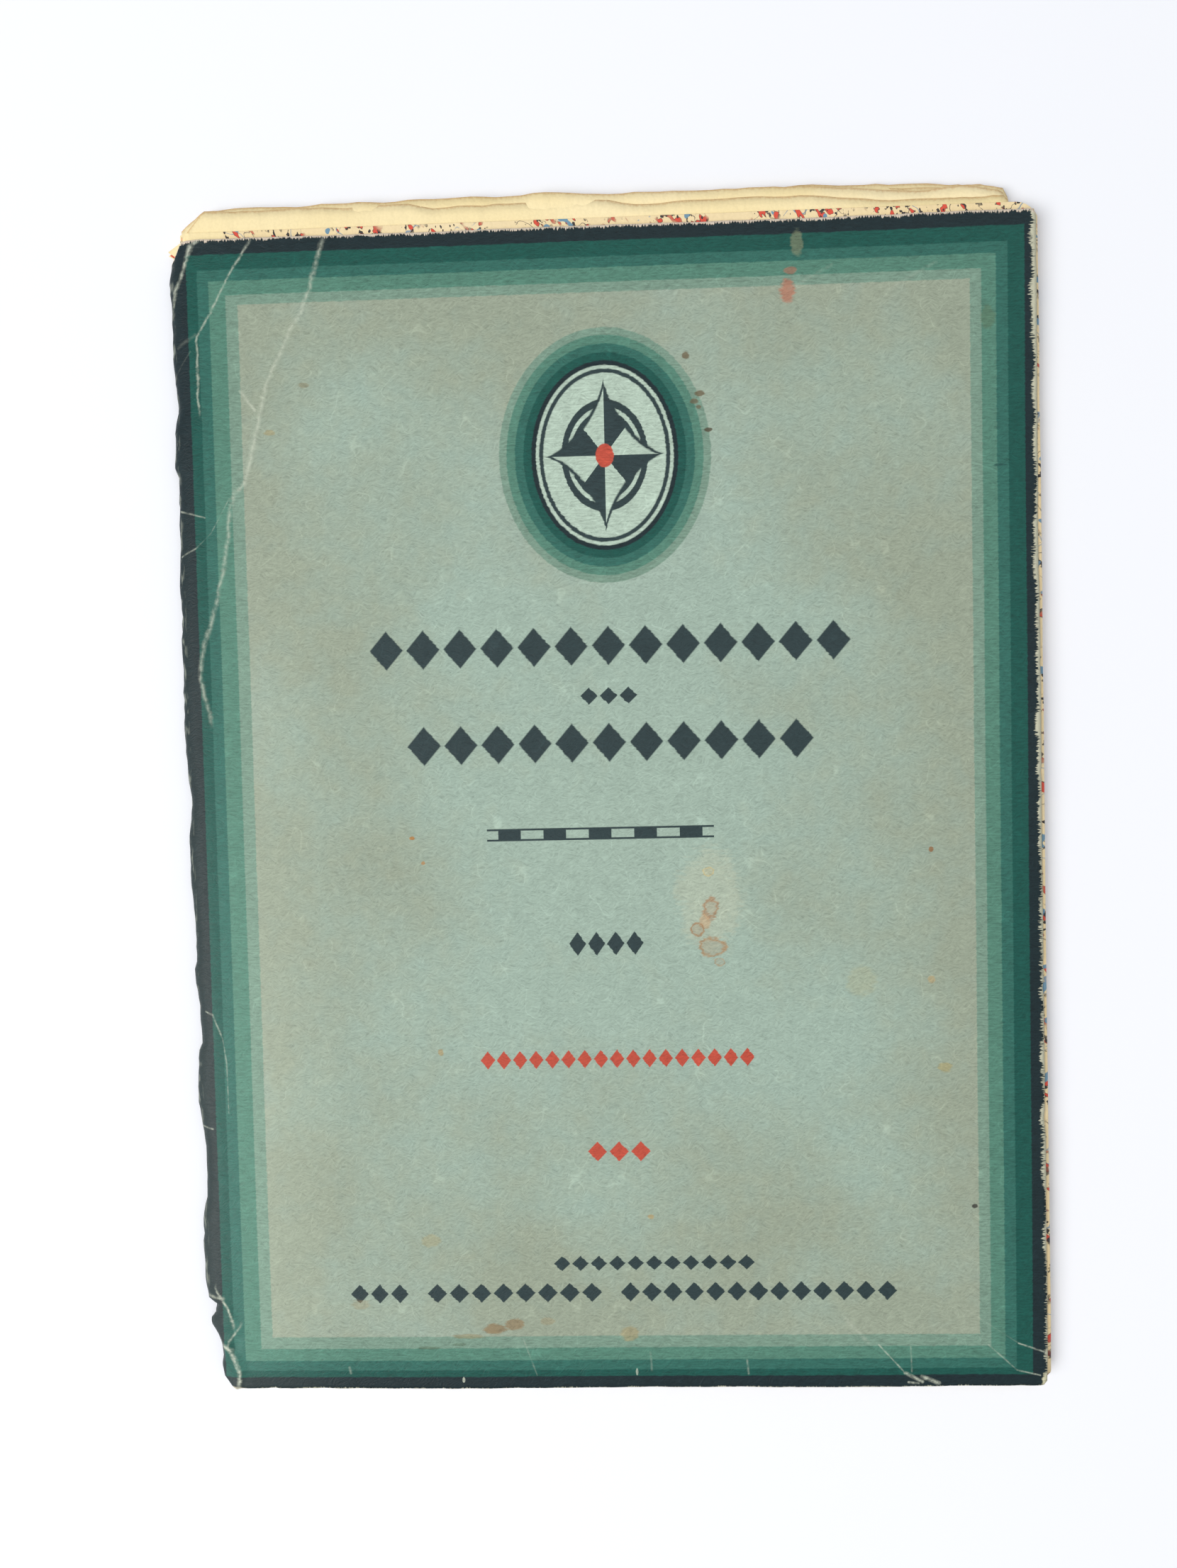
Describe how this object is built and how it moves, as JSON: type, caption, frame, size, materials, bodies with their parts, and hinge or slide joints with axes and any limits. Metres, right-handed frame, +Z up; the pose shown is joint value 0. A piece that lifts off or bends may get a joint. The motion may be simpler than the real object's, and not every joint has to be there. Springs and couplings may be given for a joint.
{
  "type": "folded paper map",
  "caption": "Worn folded road map in a card cover: a large paper sheet folded in three and pleated, closed and lying flat, cover up.",
  "frame": {"origin": "under the middle of the closed map, on the surface it lies on", "axes": "+X from the spine to the fore edge, +Y to the head of the cover, +Z up through the front cover"},
  "size_m": [0.1541, 0.2136, 0.0035],
  "materials": {
    "cover_card": "printed card with a slight sheen, worn through along its edges",
    "map_paper": "matt aged map paper, printed on one side"
  },
  "bodies": {
    "root": {"cover": "cover_card", "map_sheet": "map_paper"}
  },
  "joints": []
}
